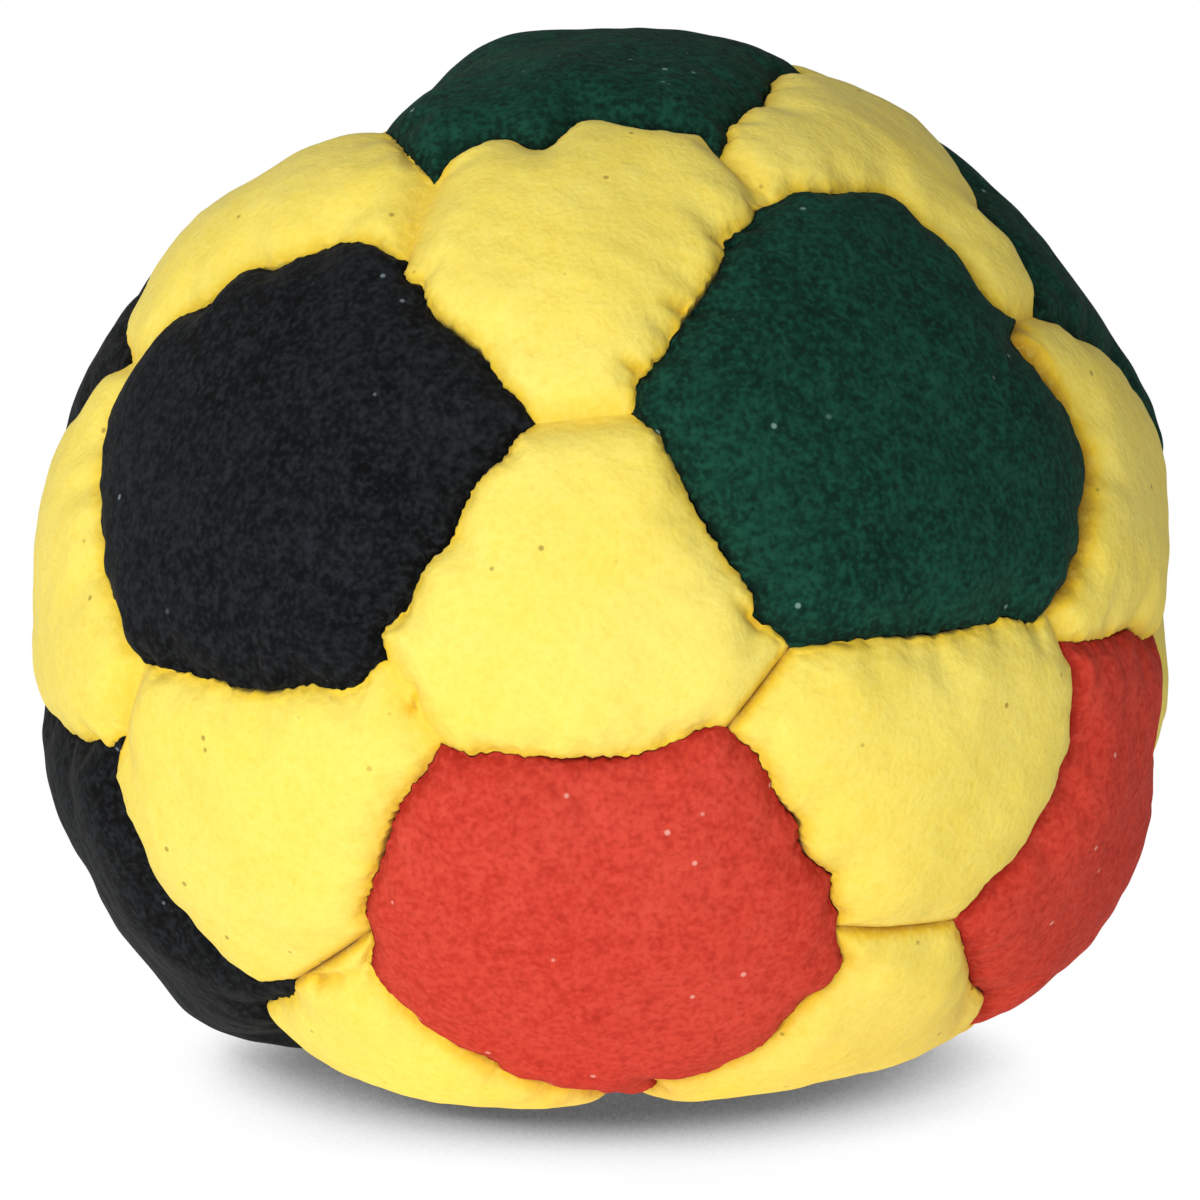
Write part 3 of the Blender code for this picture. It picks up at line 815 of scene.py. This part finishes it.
def linear_colour(code):
    """A colour written as sRGB hex, in linear values with full alpha."""
    shades = (int(code[start : start + 2], 16) / 255 for start in (1, 3, 5))
    return [s / 12.92 if s <= 0.04045 else ((s + 0.055) / 1.055) ** 2.4 for s in shades] + [1]


def node(tree, kind, settings=None, links=None, values=None):
    """A node with its settings, the values of its sockets, and the links that come into it."""
    made = tree.nodes.new(kind)
    for key, value in (settings or {}).items():
        setattr(made, key, value)
    for key, value in (values or {}).items():
        made.inputs[key].default_value = value
    for key, source in (links or {}).items():
        tree.links.new(source, made.inputs[key])
    return made


def new_material(name):
    """A material with its node tree, its shader, and the object's own place for textures to start from."""
    material = bpy.data.materials.new(name)
    material.use_nodes = True
    tree = material.node_tree
    place = {"Vector": node(tree, "ShaderNodeTexCoord").outputs["Object"]}
    return material, tree, tree.nodes["Principled BSDF"], place


# Suede: how large its patterns are and how much detail they have
NAP_PATTERNS = (
    (0.28 * MM, 1.0),  # tufts
    (0.6 * MM, 2.0),  # clumps of tufts
    (2.2 * MM, 2.0),  # patches where the nap lies one way
    (8 * MM, 1.0),  # places rubbed by the hand
)
NAP_BUMPS = (0.07 * MM, 0.12 * MM)  # height of the tufts and of the clumps
NAP_STRENGTH = 0.5
FLUFF_SPACING = 1.5 * MM
FLUFF_CHOSEN = (0.66, 0.68)  # only the few cells with more red than this carry a speck
FLUFF_SIZE = (0.11, 0.06)  # a speck's rim and its full colour, in shares of the spacing
SUEDE_FINISH = {
    "Roughness": 0.95,
    "IOR": 1.45,
    "Specular IOR Level": 0.15,
    "Sheen Roughness": 0.45,
    "Sheen Tint": linear_colour("#F4F1E6"),
}


def suede(name, colour, nap, grain_and_crease_shade, grimy, grain, lint, sheen):
    """Brushed split leather: a short dense nap that lies unevenly, paler in patches where it is rubbed.

    The nap's tufts are drawn 0.28 mm across and their clumps 0.6 mm, coarse enough to show; the hand leaves
    patches of 2 to 8 mm. In the seams, folds and wrinkles the suede is darkened by painted shade, darkest
    where a panel lies under its neighbour's bulge. Fluff sticks to it.
    """
    material, tree, shader, place = new_material(name)
    tufts, clumps, patches, handled = (
        node(tree, "ShaderNodeTexNoise", {}, place, {"Scale": 1 / size, "Detail": detail}).outputs["Fac"]
        for size, detail in NAP_PATTERNS
    )
    crease = node(tree, "ShaderNodeAttribute", {"attribute_name": "crease"}).outputs["Fac"]
    fluff = node(tree, "ShaderNodeTexVoronoi", {}, place, {"Scale": 1 / FLUFF_SPACING})
    chosen = node(
        tree,
        "ShaderNodeMapRange",
        {},
        {"Value": fluff.outputs["Color"]},
        {"From Min": FLUFF_CHOSEN[0], "From Max": FLUFF_CHOSEN[1]},
    )
    speck = node(
        tree,
        "ShaderNodeMapRange",
        {},
        {"Value": fluff.outputs["Distance"], "To Max": chosen.outputs["Result"]},
        {"From Min": FLUFF_SIZE[0], "From Max": FLUFF_SIZE[1]},
    ).outputs["Result"]
    base = node(tree, "ShaderNodeRGB")
    base.outputs[0].default_value = linear_colour(colour)
    tone = base.outputs[0]
    layers = (  # a pattern, where it sets in, where it is full, how much it then gives, and of which colour
        (patches, 0.35, 0.75, 0.25, nap),
        (handled, 0.4, 0.7, 0.35, nap),
        # painted shade: the suede darkens towards its seams, folds and wrinkles, most under a neighbour's bulge
        (crease, 0.0, 1.0, 1.0, grain_and_crease_shade),
        (crease, 1.0, 2.0, 0.8, grimy),
        (clumps, 0.5, 0.8, grain, nap),
        (clumps, 0.5, 0.2, grain, grain_and_crease_shade),
        (tufts, 0.5, 0.8, grain, nap),
        (tufts, 0.5, 0.2, grain, grain_and_crease_shade),
        (speck, 0.0, 1.0, 0.8, lint),
    )
    for source, start, end, most, tint in layers:
        share = node(
            tree,
            "ShaderNodeMapRange",
            {},
            {"Value": source},
            {"From Min": start, "From Max": end, "To Max": most},
        ).outputs["Result"]
        tone = node(
            tree, "ShaderNodeMix", {"data_type": "RGBA"}, {0: share, 6: tone}, {7: linear_colour(tint)}
        ).outputs[2]
    normal = {}
    for pattern, height in zip((tufts, clumps), NAP_BUMPS):
        sizes = {"Strength": NAP_STRENGTH, "Distance": height}
        bump = node(tree, "ShaderNodeBump", {}, {"Height": pattern, **normal}, sizes)
        normal = {"Normal": bump.outputs["Normal"]}
    tree.links.new(tone, shader.inputs["Base Color"])
    tree.links.new(normal["Normal"], shader.inputs["Normal"])
    for socket, value in {**SUEDE_FINISH, "Sheen Weight": sheen}.items():
        shader.inputs[socket].default_value = value
    return material


# The dyed suede, its rubbed nap, its grain's dark flecks and the painted shade in its seams, and its darkest
# painted shade; how strong its grain is; lint and sheen
SUEDES = {
    "black": suede("black_suede", "#0B0C0E", "#25292D", "#040506", "#040506", 0.9, "#7F8C96", 0.02),
    "green": suede("green_suede", "#093025", "#1A4F3D", "#071D16", "#071D16", 0.8, "#7F9F94", 0.01),
    "red": suede("red_suede", "#CB3B2C", "#DB5342", "#A8291D", "#7A1E14", 0.55, "#EAA99B", 0.01),
    "yellow": suede("yellow_suede", "#F9E160", "#FBEB82", "#EEC835", "#A9741A", 0.22, "#A88F3E", 0.1),
}


def thread_material():
    """Waxed polyester thread: two twisted plies with a soft gloss."""
    material, tree, shader, place = new_material("waxed_thread")
    twist = node(tree, "ShaderNodeTexWave", {}, place, {"Scale": 1 / (2.5 * MM), "Distortion": 2.0})
    plies = node(
        tree,
        "ShaderNodeMix",
        {"data_type": "RGBA"},
        {0: twist.outputs["Fac"]},
        {6: linear_colour("#C9B878"), 7: linear_colour("#EFE2B0")},
    )
    tree.links.new(plies.outputs[2], shader.inputs["Base Color"])
    shader.inputs["Roughness"].default_value = 0.55
    return material


def pellet_material():
    """Moulded polypropylene pellets: milky beads about 2.5 mm across, packed together, with painted shade between
    them.
    """
    material, tree, shader, place = new_material("plastic_pellets")
    beads = node(tree, "ShaderNodeTexVoronoi", {}, place, {"Scale": 1 / (2.5 * MM)}).outputs["Distance"]
    # painted shade: each bead is darker towards its rim, where the beads meet
    tone = node(
        tree,
        "ShaderNodeMix",
        {"data_type": "RGBA"},
        {0: beads},
        {6: linear_colour("#F1EEE4"), 7: linear_colour("#BDB8AA")},
    )
    bump = node(tree, "ShaderNodeBump", {"invert": True}, {"Height": beads}, {"Distance": 0.8 * MM})
    tree.links.new(tone.outputs[2], shader.inputs["Base Color"])
    tree.links.new(bump.outputs["Normal"], shader.inputs["Normal"])
    shader.inputs["Roughness"].default_value = 0.4
    return material


def dress_panel(node_name, mesh, sides, lips, stitches):
    """A padded panel of suede in place of its CAD shell."""
    piece = finished_panel(mesh, sides, lips, stitches)
    colour = node_name.split("_")[0]
    piece.data.materials.clear()
    piece.data.materials.append(SUEDES[colour])
    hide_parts(node_name)
    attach(piece, "root")


panels = {f"{name}_pentagon": pentagon_sides(name) for name in PENTAGONS}
panels.update({f"{name}_hexagon": hexagon_sides(name) for name in HEXAGONS})
panel_meshes = [panel_mesh(f"{name}_suede", *seams) for name, seams in panels.items()]
filled_out(panel_meshes, [sides for sides, _, _ in panels.values()])
for (panel_name, seams), panel_shell in zip(panels.items(), panel_meshes):
    dress_panel(panel_name, panel_shell, *seams)

for node_name, made in (("seam_thread", thread_material()), ("pellet_fill", pellet_material())):
    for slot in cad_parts[node_name].material_slots:
        slot.material = made


def white_floor():
    """A white table that glows a little. The camera sees it white, with a painted shadow, grey where the ball
    stands over it.
    """
    bpy.ops.mesh.primitive_plane_add(size=TABLE_SIZE, location=(0, 0, -TABLE_DROP))
    floor = bpy.context.object
    floor.name = "table_top"
    material = bpy.data.materials.new("white_table")
    material.use_nodes = True
    tree = material.node_tree
    tree.nodes.clear()
    path = node(tree, "ShaderNodeLightPath")
    mirrored = node(
        tree,
        "ShaderNodeMath",
        {"operation": "MAXIMUM"},
        {0: path.outputs["Is Glossy Ray"], 1: path.outputs["Is Transmission Ray"]},
    )
    looked_at = node(
        tree,
        "ShaderNodeMath",
        {"operation": "MAXIMUM"},
        {0: path.outputs["Is Camera Ray"], 1: mirrored.outputs[0]},
    )
    paper = node(tree, "ShaderNodeBsdfDiffuse", {}, {}, {"Color": (*[FLOOR_BOUNCE] * 3, 1)})
    glow = node(tree, "ShaderNodeEmission", {}, {}, {"Strength": TABLE_GLOW})
    lit = node(tree, "ShaderNodeAddShader", {}, {0: paper.outputs[0], 1: glow.outputs[0]})
    # painted shadow: for the camera the table is an emission, greyed by how open it is above, not shaded by the
    # lamps
    leaning = {"Y": math.sin(SHADOW_LEAN), "Z": math.cos(SHADOW_LEAN)}
    lean = node(tree, "ShaderNodeCombineXYZ", {}, {}, leaning)
    open_above = node(
        tree,
        "ShaderNodeAmbientOcclusion",
        {"samples": 16},
        {"Normal": lean.outputs["Vector"]},
        {"Distance": SHADOW_REACH},
    )
    ends = dict(zip(("From Min", "To Min", "From Max", "To Max"), DARKEST_SHADE + FULL_WHITE))
    shade = node(tree, "ShaderNodeMapRange", {}, {"Value": open_above.outputs["AO"]}, ends)
    white = node(tree, "ShaderNodeEmission", {}, {"Strength": shade.outputs["Result"]})
    mixed = node(
        tree, "ShaderNodeMixShader", {}, {0: looked_at.outputs[0], 1: lit.outputs[0], 2: white.outputs[0]}
    )
    node(tree, "ShaderNodeOutputMaterial", {}, {"Surface": mixed.outputs[0]})
    floor.data.materials.append(material)


def pale_world():
    """White light that fades from the left to the right, and plain white for the camera."""
    world = bpy.data.worlds.new("studio")
    bpy.context.scene.world = world
    world.use_nodes = True
    tree = world.node_tree
    tree.nodes.clear()
    path = node(tree, "ShaderNodeLightPath")
    place = node(tree, "ShaderNodeTexCoord")
    direction = node(tree, "ShaderNodeSeparateXYZ", {}, {"Vector": place.outputs["Generated"]})
    fading = node(
        tree,
        "ShaderNodeMapRange",
        {},
        {"Value": direction.outputs["X"]},
        {"From Min": -1.0, "From Max": 1.0, "To Min": WORLD_LIGHT[0], "To Max": WORLD_LIGHT[1]},
    ).outputs["Result"]
    light = node(tree, "ShaderNodeBackground", {}, {"Strength": fading}, {"Color": (1, 1, 1, 1)})
    seen = node(tree, "ShaderNodeBackground", {}, {}, {"Color": (1, 1, 1, 1), "Strength": 1.0})
    mixed = node(
        tree,
        "ShaderNodeMixShader",
        {},
        {0: path.outputs["Is Camera Ray"], 1: light.outputs[0], 2: seen.outputs[0]},
    )
    node(tree, "ShaderNodeOutputWorld", {}, {"Surface": mixed.outputs[0]})


def soft_light(name, azimuth, elevation, power):
    """A square soft box that faces the ball from that azimuth (0 is in front) and elevation, in degrees."""
    data = bpy.data.lights.new(name, "AREA")
    data.shape = "SQUARE"
    data.size = LAMP_SIZE
    data.energy = power
    lamp = bpy.data.objects.new(name, data)
    bpy.context.scene.collection.objects.link(lamp)
    a, e = math.radians(azimuth), math.radians(elevation)
    away = LAMP_DISTANCE * math.cos(e)
    lamp.location = (away * math.sin(a), -away * math.cos(a), CENTRE_HEIGHT + LAMP_DISTANCE * math.sin(e))
    lamp.rotation_euler = (math.pi / 2 - e, 0, a)


def photo_camera():
    """From the front, ten degrees above the table, with the ball filling the picture."""
    data = bpy.data.cameras.new("camera")
    data.sensor_width = 36
    data.lens = CAMERA_LENS
    data.shift_x, data.shift_y = CAMERA_SHIFT
    camera = bpy.data.objects.new("camera", data)
    bpy.context.scene.collection.objects.link(camera)
    back, rise = CAMERA_DISTANCE * math.cos(CAMERA_RISE), CAMERA_DISTANCE * math.sin(CAMERA_RISE)
    camera.location = (0, -back, CENTRE_HEIGHT + rise)
    camera.rotation_euler = (math.pi / 2 - CAMERA_RISE, 0, 0)
    data.clip_start, data.clip_end = 0.01, 20
    bpy.context.scene.camera = camera


white_floor()
pale_world()
soft_light("front_light", azimuth=-12, elevation=8, power=2.7)
soft_light("left_light", azimuth=-80, elevation=45, power=0.4)
photo_camera()
bpy.context.scene.view_settings.view_transform = "Standard"
